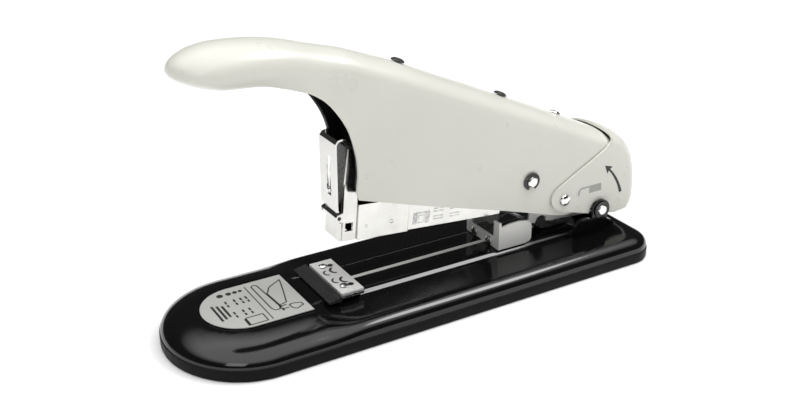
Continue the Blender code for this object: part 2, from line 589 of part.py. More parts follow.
def make_handle():
    make_cover()
    make_press_arm()
    profile = [(0, -19.4), (2.4, -19.4), (PIN_R, -18.9), (PIN_R, 18.9), (2.4, 19.4), (0, 19.4)]
    node("pivot_pin", turned(profile, (P_WORLD[0], 0, P_WORLD[1]), (0, 1, 0)), "chrome", HANDLE,
         P_WORLD, smooth=True)
    for side, tag in ((-1, "l"), (1, "r")):
        clip_ring("pivot_clip_" + tag, P_WORLD, side, 17.4, 18.3, HANDLE, P_WORLD)
        head = [(0, 14.6), (3.0, 14.6), (3.0, 15.5), (2.0, 15.5), (2.0, 18.8), (3.4, 18.8),
                (3.0, 19.7), (1.6, 20.2), (0, 20.3)]
        node("cap_rivet_" + tag, turned(head, (CAP_RIVET[0], 0, CAP_RIVET[1]), (0, side, 0), 16),
             "chrome", HANDLE, P_WORLD, smooth=True)


def make_cap():
    half = 18.5
    outer = [section(s, lambda x: half, 0.0, 0.0, 0.0, 3, 5) for s in CAP]
    inner = [section(s, lambda x: half, SHEET, SHEET, 0.0, 3, 5) for s in CAP]
    ob = node("rear_cap", skin(outer, inner), "cover", CAP_AXIS, CAP_RIVET, smooth=True)
    notch = [(103.4, 15), (103.4, 25), (105.4, 29.2), (107.6, 31), (112.2, 31), (114.4, 29.2),
             (115.2, 26), (115.2, 15)]
    cut(ob, cutter("cut_cap_notch", prism(notch, -30, 30), ROOT))
    cut(ob, cutter("cut_cap_rivet", rod(CAP_RIVET, 2.1, -30, 30, n=16), ROOT))


# ---- depth stop ----
def make_stop():
    plan = [(45.4, -15), (67, -15), (67, -13.8), (46.6, -13.8), (46.6, 13.8), (67, 13.8),
            (67, 15), (45.4, 15)]
    ob = node("depth_stop", prism(plan, 13.6, 31.5, "XY"), "chrome", STOP, (46.0, 18.0))
    cut(ob, cutter("cut_stop_notch", block((40, 50), (-9.9, 9.9), (21.4, 40)), ROOT))
    top = [(40, 31.2), (46.8, 31.2), (47, 28.4), (52, 29.3), (59, 29.6), (64, 28.6), (66, 27),
           (67.3, 24.6), (75, 24.6), (75, 45), (40, 45)]
    low = [(40, 5), (75, 5), (75, 18), (67.3, 18), (66, 16.2), (63, 15.4), (40, 15.4)]
    cut(ob, cutter("cut_stop_top", prism(top, -25, 25), ROOT))
    cut(ob, cutter("cut_stop_low", prism(low, -25, 25), ROOT))
    saddle = [(-9, 15.4), (-1.6, 15.4), (-1.6, 16.1), (1.6, 16.1), (1.6, 15.4), (9, 15.4),
              (9, 20.8), (-9, 20.8)]
    block_ob = node("stop_slider", prism(saddle, 46.9, 54.2, "YZ"), "black_steel", STOP,
                    (46.0, 18.0))
    for side, tag in ((-1, "l"), (1, "r")):
        c = (side * 6.6, 18.4)
        hole = cutter("cut_stop_screw_" + tag, rod(c, 1.6, 42, 54, "YZ", 16), ROOT)
        cut(ob, hole)
        cut(block_ob, hole)
        prof = [(0, -7.2), (1.5, -7.2), (1.5, 0.9), (2.5, 0.9), (2.5, 1.5), (1.6, 2.2), (0, 2.4)]
        node("stop_screw_" + tag, turned(prof, (46.0, c[0], c[1]), (-1, 0, 0), 16), "chrome",
             STOP, (46.0, 18.0), smooth=True)


clear_scene()
PARTS = collection("manual_heavy_duty_stapler")
CUTTERS = collection("cutters")
ROOT = empty("base_frame", (-ORIGIN_X, 0.0))
HEAD = empty("head_axis", HINGE, ROOT, TILT)
P_WORLD = (HINGE[0] + PIVOT[0] * math.cos(TILT) + PIVOT[1] * math.sin(TILT),
           HINGE[1] - PIVOT[0] * math.sin(TILT) + PIVOT[1] * math.cos(TILT))
HANDLE = empty("handle_axis", P_WORLD, ROOT)
CAP_AXIS = empty("cap_axis", CAP_RIVET, ROOT)
CLIP = empty("clip_axis", CLIP_PIN, HEAD)
STOP = empty("stop_axis", (46.0, 18.0), ROOT)
make_base()
make_magazine()
make_chassis()
coil("return_spring", (-88.5, 0, 20.7), 5.6, 0.8, 45.0, 7, "spring", HEAD)
make_nose_clip()
make_driver()
make_pusher()
make_handle()
make_cap()
make_stop()
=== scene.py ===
"""Looks for the manual heavy-duty stapler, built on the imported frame."""
import math

import bmesh
import bpy
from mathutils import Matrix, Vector


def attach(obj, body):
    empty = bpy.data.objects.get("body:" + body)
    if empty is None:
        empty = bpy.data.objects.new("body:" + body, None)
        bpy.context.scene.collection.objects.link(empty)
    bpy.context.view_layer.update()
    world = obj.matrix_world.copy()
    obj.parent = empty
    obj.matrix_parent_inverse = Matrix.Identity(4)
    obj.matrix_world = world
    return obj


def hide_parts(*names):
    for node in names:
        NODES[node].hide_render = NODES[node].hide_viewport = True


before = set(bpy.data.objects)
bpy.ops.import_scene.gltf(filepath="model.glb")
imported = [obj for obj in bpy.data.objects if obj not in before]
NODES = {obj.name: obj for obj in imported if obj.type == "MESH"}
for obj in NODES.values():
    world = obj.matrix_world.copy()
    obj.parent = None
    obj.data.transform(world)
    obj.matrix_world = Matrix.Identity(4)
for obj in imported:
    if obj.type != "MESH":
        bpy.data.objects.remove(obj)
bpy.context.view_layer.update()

# Lengths are in mm, measured from the middle of the base unless a comment says otherwise.
MM = 0.001
OX = 3.25                    # the base's centre to the middle of the whole object
HINGE = (110.0, 26.5)        # x and z of the head's hinge
TILT = math.radians(4.8)     # the head's angle above level
SHARP = math.radians(40)     # smooth shading breaks at edges sharper than this


# ---------------------------------------------------------------- materials
def new_mat(name):
    """An empty Principled material, with its tree and shader."""
    mat = bpy.data.materials.new(name)
    mat.use_nodes = True
    tree = mat.node_tree
    bsdf = tree.nodes["Principled BSDF"]
    return mat, tree, bsdf


def add(tree, kind, **inputs):
    """A new node with its sockets set by keyword."""
    n = tree.nodes.new(kind)
    for key, value in inputs.items():
        n.inputs[key.replace("_", " ")].default_value = value
    return n


def coords(tree, scale=(1, 1, 1)):
    """The object's own coordinates, scaled."""
    tc = tree.nodes.new("ShaderNodeTexCoord")
    mp = tree.nodes.new("ShaderNodeMapping")
    mp.inputs["Scale"].default_value = scale
    tree.links.new(tc.outputs["Object"], mp.inputs["Vector"])
    return mp.outputs["Vector"]


def noise(tree, vec, scale, detail=4.0, rough=0.55):
    n = add(tree, "ShaderNodeTexNoise", Scale=scale, Detail=detail, Roughness=rough)
    tree.links.new(vec, n.inputs["Vector"])
    return n.outputs["Fac"]


def span(tree, value, low, high, a=0.3, b=0.7):
    """Map a to b onto low to high, clamped."""
    n = tree.nodes.new("ShaderNodeMapRange")
    n.inputs["From Min"].default_value = a
    n.inputs["From Max"].default_value = b
    n.inputs["To Min"].default_value = low
    n.inputs["To Max"].default_value = high
    tree.links.new(value, n.inputs["Value"])
    return n.outputs["Result"]


def mix_colour(tree, fac, a, b):
    n = tree.nodes.new("ShaderNodeMix")
    n.data_type = "RGBA"
    tree.links.new(fac, n.inputs["Factor"])
    for key, v in (("A", a), ("B", b)):
        sock = [s for s in n.inputs if s.name == key and s.type == "RGBA"][0]
        if isinstance(v, bpy.types.NodeSocket):
            tree.links.new(v, sock)
        else:
            sock.default_value = v
    return [s for s in n.outputs if s.type == "RGBA"][0]


def edges(tree, low=0.53, high=0.60):
    """1 on sharp outer edges, worn off by noise."""
    geo = tree.nodes.new("ShaderNodeNewGeometry")
    edge = span(tree, geo.outputs["Pointiness"], 0.0, 1.0, low, high)
    worn = span(tree, noise(tree, coords(tree), 900.0, 3.0), 0.0, 1.0, 0.42, 0.62)
    m = tree.nodes.new("ShaderNodeMath")
    m.operation = "MULTIPLY"
    tree.links.new(edge, m.inputs[0])
    tree.links.new(worn, m.inputs[1])
    return m.outputs["Value"]


def bump(tree, bsdf, height, strength, distance=0.0002):
    n = add(tree, "ShaderNodeBump", Strength=strength, Distance=distance)
    tree.links.new(height, n.inputs["Height"])
    tree.links.new(n.outputs["Normal"], bsdf.inputs["Normal"])


def paint(name, base, tint, edge, rough, coat=0.0, peel=0.05, grain=420.0, shine=0.5,
          wear=(0.53, 0.60)):
    """Sprayed paint: slow colour drift, orange peel and worn edges."""
    mat, tree, bsdf = new_mat(name)
    vec = coords(tree)
    drift = mix_colour(tree, span(tree, noise(tree, vec, 22.0), 0.0, 1.0), base, tint)
    col = mix_colour(tree, edges(tree, *wear), drift, edge)
    tree.links.new(col, bsdf.inputs["Base Color"])
    tree.links.new(span(tree, noise(tree, vec, 60.0, 6.0), rough[0], rough[1]),
                   bsdf.inputs["Roughness"])
    bsdf.inputs["Coat Weight"].default_value = coat
    bsdf.inputs["Coat Roughness"].default_value = 0.06
    bsdf.inputs["Specular IOR Level"].default_value = shine
    bump(tree, bsdf, noise(tree, vec, grain, 3.0), peel)
    return mat


def metal(name, base, tint, rough, along="X", fine=1.0, strength=0.06, metallic=1.0,
          wear=(0.60, 0.74)):
    """Plated or rolled steel, with fine rolling lines along one axis and small smudges."""
    mat, tree, bsdf = new_mat(name)
    stretch = {"X": (30, 1400, 1400), "Y": (1400, 30, 1400), "Z": (1400, 1400, 30)}[along]
    lines = noise(tree, coords(tree, tuple(v * fine for v in stretch)), 1.0, 3.0)
    vec = coords(tree)
    smudge = noise(tree, vec, 75.0, 6.0, 0.6)
    drift = mix_colour(tree, span(tree, smudge, 0.0, 1.0), base, tint)
    tree.links.new(mix_colour(tree, edges(tree, *wear), drift, (0.9, 0.9, 0.89, 1)),
                   bsdf.inputs["Base Color"])
    bsdf.inputs["Metallic"].default_value = metallic
    m = tree.nodes.new("ShaderNodeMath")
    m.operation = "ADD"
    tree.links.new(span(tree, smudge, rough[0], rough[1]), m.inputs[0])
    tree.links.new(span(tree, lines, -0.03, 0.05), m.inputs[1])
    tree.links.new(m.outputs["Value"], bsdf.inputs["Roughness"])
    bump(tree, bsdf, lines, strength, 0.00006)
    return mat


def plastic(name, base, tint, rough, grain=1500.0, strength=0.18, shine=0.5,
            wear=(0.53, 0.60)):
    """Moulded plastic or ink with a fine grain and paler edges."""
    mat, tree, bsdf = new_mat(name)
    bsdf.inputs["Specular IOR Level"].default_value = shine
    vec = coords(tree)
    col = mix_colour(tree, span(tree, noise(tree, vec, 90.0), 0.0, 1.0), base, tint)
    pale = tuple(min(1.0, c * 2.2 + 0.01) for c in tint[:3]) + (1,)
    col = mix_colour(tree, edges(tree, *wear), col, pale)
    tree.links.new(col, bsdf.inputs["Base Color"])
    tree.links.new(span(tree, noise(tree, vec, 300.0), rough[0], rough[1]),
                   bsdf.inputs["Roughness"])
    bump(tree, bsdf, noise(tree, vec, grain, 2.0), strength, 0.00008)
    return mat


M = {
    "cover": paint("paint_off_white", (0.70, 0.70, 0.635, 1), (0.665, 0.665, 0.60, 1),
                   (0.78, 0.78, 0.74, 1), (0.26, 0.38), 0.2, 0.035, 420.0, 0.5, (0.85, 0.95)),
    "gloss_black": paint("paint_gloss_black", (0.0025, 0.0025, 0.0028, 1),
                         (0.0045, 0.0045, 0.005, 1), (0.02, 0.02, 0.02, 1), (0.07, 0.13), 0.0,
                         0.015, 300.0),
    "black_steel": paint("blackened_steel", (0.012, 0.012, 0.013, 1), (0.022, 0.021, 0.021, 1),
                         (0.16, 0.155, 0.15, 1), (0.28, 0.42), 0.0, 0.08, 900.0),
    # The lever's black paint, also used as painted shade on the cover's and cap's inner faces
    # and in the stop screws' cross recesses.
    "lever": paint("lever_black_and_painted_shade", (0.006, 0.006, 0.007, 1), (0.014, 0.014, 0.014, 1),
                   (0.05, 0.05, 0.05, 1), (0.3, 0.42), 0.0, 0.08, 700.0, 0.3),
    "matt_black": plastic("skirt_black", (0.003, 0.0031, 0.0036, 1), (0.005, 0.0051, 0.0056, 1),
                          (0.38, 0.52), 1500.0, 0.15, 0.1),
    "ramp_black": plastic("ramp_black", (0.008, 0.008, 0.009, 1), (0.015, 0.015, 0.016, 1),
                          (0.3, 0.45), 1200.0, 0.1, 0.25),
    "nickel": metal("nickel_plate", (0.76, 0.755, 0.73, 1), (0.66, 0.655, 0.63, 1),
                    (0.13, 0.24)),
    # A slightly darker copy of the nickel plate for the upright nose parts: the darker colour is
    # painted shade; the rolling lines run along Z.
    "nickel_shaded_upright": metal("nickel_plate_upright_shaded", (0.72, 0.715, 0.69, 1), (0.60, 0.595, 0.57, 1),
                       (0.12, 0.22), "Z"),
    "chrome": metal("bright_chrome", (0.70, 0.695, 0.68, 1), (0.62, 0.615, 0.60, 1),
                    (0.06, 0.13), "Y", 1.0, 0.02),
    "steel": metal("rolled_steel", (0.62, 0.62, 0.61, 1), (0.52, 0.52, 0.51, 1), (0.24, 0.38)),
    "spring": metal("spring_steel", (0.42, 0.42, 0.43, 1), (0.33, 0.33, 0.34, 1), (0.22, 0.36),
                    "Z", 0.7),
    "turned": metal("turned_pin", (0.82, 0.815, 0.80, 1), (0.72, 0.71, 0.70, 1), (0.1, 0.2),
                    "Y", 1.6, 0.04),
    "label": metal("label_foil", (0.54, 0.54, 0.52, 1), (0.52, 0.52, 0.495, 1), (0.44, 0.5),
                   "Y", 0.25, 0.008, 0.3, (0.9, 0.99)),
    "satin": metal("satin_zinc", (0.80, 0.795, 0.775, 1), (0.74, 0.735, 0.71, 1), (0.26, 0.4),
                   "Y", 1.0, 0.03, 0.15),
    "ink": plastic("printing_ink", (0.012, 0.012, 0.013, 1), (0.02, 0.02, 0.02, 1), (0.4, 0.55),
                   2500.0, 0.05, 0.5, (0.9, 0.99)),
    "grey_ink": plastic("grey_ink", (0.34, 0.34, 0.31, 1), (0.38, 0.38, 0.35, 1), (0.4, 0.55),
                        2500.0, 0.05, 0.5, (0.9, 0.99)),
    # Darker, rougher metal for the magazine's raised marks; the darker grey is painted shade of
    # their relief.
    "emboss": metal("embossed_lines_shaded_grey", (0.50, 0.50, 0.49, 1), (0.42, 0.42, 0.41, 1),
                    (0.3, 0.45)),
    # Near-black metal used as painted shade in the anvil's clinch recesses.
    "recess_shade": metal("recess_shadow", (0.10, 0.10, 0.10, 1), (0.07, 0.07, 0.07, 1),
                         (0.3, 0.45)),
}

FINISH = {
    "anvil_base": "steel", "anvil_plate": "satin", "anvil_ramp": "ramp_black",
    "anvil_rivet_l": "turned", "anvil_rivet_r": "turned", "cap_rivet_l": "turned",
    "cap_rivet_r": "turned", "chassis_frame": "satin", "clip_stud": "turned",
    "cover_rivet_1": "black_steel", "cover_rivet_2": "black_steel", "cover_rivet_3": "turned",
    # The driver blade takes the blackened steel so that the slot in front of it reads dark:
    # painted shade.
    "depth_stop": "satin", "driver_blade": "black_steel", "driver_block": "black_steel",
    "handle_lever": "lever", "hinge_bracket": "gloss_black", "hinge_clip_l": "black_steel",
    "hinge_clip_r": "black_steel", "hinge_pin": "turned", "instruction_label": "label",
    "lift_spring": "spring", "lift_spring_rivet": "turned", "magazine_channel": "nickel",
    "magazine_rear": "lever", "nose_clip": "chrome", "nose_cover": "nickel",
    "nose_pin": "black_steel", "nose_plate": "nickel_shaded_upright", "nose_rail_l": "nickel_shaded_upright",
    "nose_rail_r": "nickel_shaded_upright", "pivot_clip_l": "black_steel", "pivot_clip_r": "black_steel",
    "pivot_pin": "turned", "press_arm": "black_steel", "pusher_block": "ramp_black",
    "pusher_spring": "spring", "return_spring": "spring", "spring_seat": "steel",
    "staple_rail": "steel", "stop_guide_rail": "satin", "stop_screw_l": "turned",
    "stop_screw_r": "turned", "stop_slider": "black_steel",
    "base_shell": "gloss_black", "base_skirt": "matt_black", "handle_cover": "cover",
    "rear_cap": "cover",
}
SPRINGS = ("return_spring", "pusher_spring")
THICK_SHEET = ("nose_clip", "depth_stop")


def dress_nodes():
    """CAD nodes get their finish and softly broken edges, apart from the wound springs."""
    for name, ob in NODES.items():
        ob.data.materials.clear()
        ob.data.materials.append(M[FINISH[name]])
        if name in SPRINGS:
            continue
        weld = ob.modifiers.new("weld", "WELD")
        weld.merge_threshold = 0.005 * MM
        bev = ob.modifiers.new("edges", "BEVEL")
        bev.width = (0.3 if name in THICK_SHEET else 0.22) * MM
        bev.segments = 2
        bev.limit_method = "ANGLE"
        bev.angle_limit = math.radians(38)
        bev.use_clamp_overlap = True
        bev.harden_normals = True


# ---------------------------------------------------------------- mesh helpers
def finish_piece(name, bm, mat, body, replaced=(), smooth=True, level=False,
                 inside=None):
    """Store a bmesh as a piece that rides on a body.

    Its points are mm in the base's frame. With level they are mm from the hinge in the head's
    frame, where the magazine lies level. inside names the material of slot 1, for inner faces.
    """
    bmesh.ops.remove_doubles(bm, verts=bm.verts, dist=1e-4)
    bmesh.ops.recalc_face_normals(bm, faces=bm.faces)
    c, s = math.cos(TILT), math.sin(TILT)
    for v in bm.verts:
        x, y, z = v.co
        if level:
            x, z = HINGE[0] + x * c + z * s, HINGE[1] - x * s + z * c
        v.co = ((x - OX) * MM, y * MM, z * MM)
    me = bpy.data.meshes.new(name)
    bm.to_mesh(me)
    bm.free()
    if smooth:
        me.shade_smooth()
        me.set_sharp_from_angle(angle=SHARP)
    me.materials.append(M[mat])
    if inside:
        me.materials.append(M[inside])
    ob = bpy.data.objects.new(name, me)
    bpy.context.scene.collection.objects.link(ob)
    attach(ob, body)
    if replaced:
        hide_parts(*replaced)
    return ob


def carve(ob, bm):
    """Cut a closed bmesh (mm, base frame) out of a finished piece's mesh."""
    bmesh.ops.recalc_face_normals(bm, faces=bm.faces)
    for v in bm.verts:
        v.co = ((v.co.x - OX) * MM, v.co.y * MM, v.co.z * MM)
    me = bpy.data.meshes.new("tool")
    bm.to_mesh(me)
    bm.free()
    tool = bpy.data.objects.new("tool", me)
    bpy.context.scene.collection.objects.link(tool)
    mod = ob.modifiers.new("carve", "BOOLEAN")
    mod.operation, mod.solver, mod.object = "DIFFERENCE", "EXACT", tool
    bpy.context.view_layer.update()
    graph = bpy.context.evaluated_depsgraph_get()
    cut = bpy.data.meshes.new_from_object(ob.evaluated_get(graph))
    ob.modifiers.clear()
    ob.data = cut
    bpy.data.objects.remove(tool)
    cut.set_sharp_from_angle(angle=SHARP)


def prism(pts, a, b, plane="XZ", bm=None):
    """Extrude an outline in a plane from a to b along the plane's normal."""
    bm = bm or bmesh.new()

    def spot(u, v, w):
        return {"XZ": (u, w, v), "YZ": (w, u, v), "XY": (u, v, w)}[plane]
    face = bm.faces.new([bm.verts.new(spot(u, v, a)) for u, v in pts])
    out = bmesh.ops.extrude_face_region(bm, geom=[face])
    moved = [e for e in out["geom"] if isinstance(e, bmesh.types.BMVert)]
    bmesh.ops.translate(bm, verts=moved, vec=spot(0.0, 0.0, b - a))
    return bm


def ring(cx, cz, r, n=24, start=0.0, sweep=360.0):
    """Points on a circle, or on an arc when sweep is under 360."""
    steps = n if abs(sweep) >= 360 else n + 1
    return [(cx + r * math.cos(math.radians(start + sweep * k / n)),
             cz + r * math.sin(math.radians(start + sweep * k / n))) for k in range(steps)]


PALE_ROWS = 9                # the first rows keep the outer paint inside, at the tip and edge; past them the cover and cap take the dark inside material as painted shade


def skin(outer, inner, skip=None, inside=0):
    """Join two like grids into one closed sheet; skip(i, j) leaves a slot.

    The inner face takes material slot `inside` past the first rows, which the cover and cap use
    for painted shade inside their hollow.
    """
    bm = bmesh.new()
    out, inn = [[[bm.verts.new(p) for p in row] for row in rows] for rows in (outer, inner)]
    rows, cols = len(outer), len(outer[0])
    gone = skip or (lambda i, j: False)
    for i in range(rows - 1):
        for j in range(cols - 1):
            if gone(i, j):
                continue
            bm.faces.new([out[i][j], out[i + 1][j], out[i + 1][j + 1], out[i][j + 1]])
            back = bm.faces.new([inn[i][j], inn[i][j + 1], inn[i + 1][j + 1], inn[i + 1][j]])
            back.material_index = inside if i > PALE_ROWS else 0
            for a, b, (p, q) in (((i, j), (i + 1, j), (i, j - 1)),
                                 ((i, j + 1), (i + 1, j + 1), (i, j + 1)),
                                 ((i, j), (i, j + 1), (i - 1, j)),
                                 ((i + 1, j), (i + 1, j + 1), (i + 1, j))):
                edge = not (0 <= p < rows - 1 and 0 <= q < cols - 1) or gone(p, q)
                if edge:
                    quad = [out[a[0]][a[1]], out[b[0]][b[1]], inn[b[0]][b[1]], inn[a[0]][a[1]]]
                    if len({tuple(round(c, 5) for c in v.co) for v in quad}) == 4:
                        bm.faces.new(quad)
    return bm


def smooth_rows(rows, sub):
    """Catmull-Rom through a table of like tuples, `sub` steps between rows."""
    flat = [[v for part in r for v in (part if isinstance(part, tuple) else (part,))]
            for r in rows]
    out = []
    for i in range(len(flat) - 1):
        p0, p1 = flat[max(i - 1, 0)], flat[i]
        p2, p3 = flat[i + 1], flat[min(i + 2, len(flat) - 1)]
        for k in range(sub):
            t = k / sub
            out.append([0.5 * (2 * b + (c - a) * t + (2 * a - 5 * b + 4 * c - d) * t * t +
                               (3 * b - a - 3 * c + d) * t ** 3)
                        for a, b, c, d in zip(p0, p1, p2, p3)])
    out.append(flat[-1])
    return out


# ---------------------------------------------------------------- base
HL, HW = 134.5, 42.5          # half length and half width of the base
CORNER, FRONT = 15.0, 41.0    # the rear corners' radius and the front end's length
SHELL_FOOT = 6.4              # height of the shell's lower edge


def half_width(x, inset):
    """Half width of the base's outline at x, drawn in by inset."""
    hl, hw, rc, front = HL - inset, HW - inset, CORNER - inset, -HL + FRONT
    if x < front:
        u = min(1.0, (front - x) / (FRONT - inset))
        return hw * math.sqrt(max(0.0, 1.0 - u * u))
    if x > hl - rc:
        u = min(rc, x - (hl - rc))
        return hw - rc + math.sqrt(max(0.0, rc * rc - u * u))
    return hw


def shoulder(edge, radius, top, power):
    """Height of a rounded shoulder at a distance `edge` inside the outline."""
    t = max(0.0, 1.0 - edge / radius)
    return SHELL_FOOT + (top - SHELL_FOOT) * (1.0 - t ** power) ** (1.0 / power)


def ease(t):
    t = min(1.0, max(0.0, t))
    return t * t * (3 - 2 * t)


def shell_height(x, y, edge):
    """The shell's upper face: domed front, ridged back, shallow dish and label recess."""
    front = ease((-46.0 - x) / 24.0)
    ridge = 2.0 * (1.0 - ease((abs(y) - 12.7) / 3.6)) * ease((127.0 - x) / 6.0)
    dish = 0.35 * (1 - ease((abs(y) - 30.0) / 9.0)) * ease((abs(y) - 16.5) / 8.0)
    back = shoulder(edge, 8.5, 12.95, 2.4) + ridge - dish * ease((120 - x) / 20.0)
    dome = shoulder(edge, 21.5, 15.25, 2.0)
    d = math.hypot(max(0.0, -95.0 - x), y) if x < -95 else abs(y)
    inside = 1.0 - ease((d - 20.1) / 0.7)
    recess = 0.28 * inside * ease((-65.3 - x) / 0.7)
    return back * (1 - front) + dome * front - recess


def shell_grid(inset, drop):
    """Rows of points across the shell, drawn in by inset and lowered by drop."""
    front, hl = -HL + FRONT, HL - inset
    xs = [front - (FRONT - inset) * math.sin(math.radians(a))
          for a in (89.0, 86, 82, 78, 74, 70, 66, 62, 58, 54, 50, 46, 42, 38, 34, 30, 26, 22, 18,
                    14, 10, 6, 3)]
    xs += [front, -90, -86, -82, -78, -74, -71, -68.5, -67, -66, -65.4, -64.6, -62, -59, -56,
           -53, -50, -47, -44, -40, -35.3, -20, 0, 20, 40, 60, 80.3, 95, 108, 116, 119.5, 121,
           122.5, 124, 125.5, 127]
    xs += [hl - e for e in (5.6, 4.3, 3.2, 2.2, 1.5, 0.9, 0.5, 0.2, 0.0)]
    rims = [0.0, 0.12, 0.3, 0.6, 1.0, 1.6, 2.4, 3.4, 4.6, 6.2, 8.5]
    rows = []
    for x in xs:
        w = half_width(x, inset)
        scale = min(1.0, w / 14.0)
        left = w - rims[-1] * scale
        if left > 21:
            core = [21.0 + (left - 21.0) * f for f in (0.75, 0.5, 0.25)]
            core += [21.0, 20.5, 20.0, 18.2, 17.2, 16.3, 15.6, 14.9, 14.2, 13.5, 12.7, 9.0, 5.0,
                     1.5, 0.0]
        else:
            core = [left * f for f in (0.95, 0.9, 0.85, 0.8, 0.76, 0.72, 0.68, 0.64, 0.6, 0.56,
                                       0.52, 0.48, 0.44, 0.4, 0.3, 0.2, 0.08, 0.0)]
        ys = [w - e * scale for e in rims] + core
        row = []
        for y in [-v for v in ys] + ys[::-1][1:]:
            edge = min(w - abs(y), hl - x)
            if x < front:
                u = math.hypot((front - x) / (FRONT - inset), y / (HW - inset))
                edge = max(0.0, 1.0 - u) * FRONT
            elif x > hl - CORNER + inset and abs(y) > HW - CORNER:
                rc = CORNER - inset
                edge = rc - math.hypot(x - (hl - rc), abs(y) - (HW - inset - rc))
            if x in (xs[0], xs[-1]) or abs(abs(y) - w) < 1e-9:
                edge = 0.0
            z = shell_height(x, y, max(0.0, edge)) - drop
            row.append((x, y, max(z, SHELL_FOOT)))
        rows.append(row)
    return rows, xs


def make_shell():
    """The pressed shell, 1.2 mm thick, with the slot that the depth stop's rail lies in."""
    rim, sheet = 0.5, 1.2
    slot_from, slot_to = -36, 80
    outer, xs = shell_grid(rim, 0.0)
    inner, _ = shell_grid(rim + sheet, sheet)
    mid = len(outer[0]) // 2

    def slot(i, j):
        return j in (mid - 1, mid) and slot_from < xs[i] < slot_to
    finish_piece("base_shell_finish", skin(outer, inner, slot), "gloss_black", "base",
                 ("base_shell",))


def outline(inset, n=36):
    """The base's outline from above: half an ellipse in front, round corners behind."""
    front = -HL + FRONT
    hl, hw, rc = HL - inset, HW - inset, CORNER - inset
    pts = [(front + (FRONT - inset) * math.cos(math.radians(90 + 180 * k / n)),
            hw * math.sin(math.radians(90 + 180 * k / n))) for k in range(n + 1)]
    for cy, a0 in ((-1, -90), (1, 0)):
        pts += [(hl - rc + rc * math.cos(math.radians(a0 + 7.5 * k)),
                 cy * (hw - rc) + rc * math.sin(math.radians(a0 + 7.5 * k))) for k in range(13)]
    return pts


def make_skirt():
    """Moulded skirt with a rounded lower edge, a rolled lip and a seam under the shell."""
    # each row is an inset from the outline and a height
    rows = [(2.6, 5.0), (1.3, 5.4), (0.9, 6.1), (0.45, 6.25), (0.12, 6.05), (0.0, 5.6),
            (0.0, 1.2), (0.25, 0.45), (0.8, 0.0), (5.0, 0.0), (5.4, 0.5), (7.5, 0.5)]
    bm = bmesh.new()
    loops = [[bm.verts.new((x, y, z)) for x, y in outline(d, 72)] for d, z in rows]
    n = len(loops[0])
    for a, b in zip(loops, loops[1:]):
        for k in range(n):
            bm.faces.new([a[k], a[(k + 1) % n], b[(k + 1) % n], b[k]])
    bm.faces.new(loops[0])
    bm.faces.new(loops[-1][::-1])
    finish_piece("base_skirt_finish", bm, "matt_black", "base", ("base_skirt",))


# ---------------------------------------------------------------- handle
# TOP_HALF: x and the cover's half width there. A row of COVER, COVER_BACK or CAP is the lower
# and the upper end of one section in x and z, the height of its rounded crown, and how far its
# lower edge curls in, from 0 to 1.
TOP_HALF = [(-100, 17.0), (-92, 16.9), (-85, 16.6), (-77, 16.0), (-70, 15.2), (-64, 14.7),
            (-58, 14.3), (-51, 14.05), (-45, 14.0), (-37, 14.4), (-30, 14.9), (-20, 15.55),
            (-10, 16.1), (0, 16.45), (10, 16.7), (35, 16.9), (60, 17.0), (140, 17.0)]
COVER = [
    ((-121.0, 137.4), (-121.0, 137.4), 0.1, .97), ((-120.2, 135.2), (-120.2, 140.0), 3.4, .96),
    ((-118.0, 133.4), (-118.0, 142.2), 6.4, .8), ((-114.0, 131.8), (-114.0, 144.3), 9.0, .55),
    ((-108.0, 130.3), (-108.0, 146.2), 11.0, .4), ((-100.0, 129.0), (-99.0, 147.3), 12.4, .3),
    ((-91.0, 128.6), (-88.0, 147.0), 12.6, .26), ((-82.0, 127.9), (-78.0, 145.9), 12.4, .22),
    ((-73.0, 125.4), (-69.0, 144.1), 12.0, .15), ((-66.0, 123.0), (-61.5, 142.0), 11.5, .08),
    ((-60.9, 121.1), (-56.0, 140.3), 11.2, 0), ((-54.2, 116.5), (-51.0, 138.9), 11.0, 0),
    ((-49.3, 111.3), (-46.5, 137.7), 10.8, 0), ((-44.7, 104.5), (-42.5, 136.6), 10.5, 0),
    ((-41.7, 98.4), (-39.0, 135.6), 10.4, 0), ((-39.7, 92.0), (-36.0, 134.6), 10.2, 0),
    ((-38.2, 84.5), (-33.0, 133.5), 10.0, 0), ((-37.8, 76.6), (-30.0, 132.4), 10.0, 0),
    ((-38.5, 68.9), (-26.5, 131.0), 9.8, 0), ((-37.5, 64.0), (-22.0, 129.3), 9.6, 0)]
COVER_BACK = [
    ((-37.5, 64.0), (-22.0, 129.3), 9.6, 0),
    ((-20.0, 58.9), (-8.0, 123.9), 9.4, 0), ((1.4, 52.5), (10.0, 115.6), 9.2, 0),
    ((22.0, 46.5), (30.0, 106.8), 9.0, 0), ((44.5, 39.9), (52.0, 96.9), 8.6, 0),
    ((66.0, 33.2), (74.0, 87.1), 8.3, 0), ((85.1, 27.4), (95.0, 77.4), 8.0, 0),
    ((96.0, 28.0), (104.0, 73.2), 8.0, 0), ((103.0, 32.0), (111.0, 70.0), 7.0, 0),
    ((110.0, 35.0), (118.0, 66.4), 6.0, 0), ((116.0, 35.5), (124.0, 61.0), 6.0, 0),
    ((119.0, 36.0), (127.0, 52.0), 6.0, 0)]
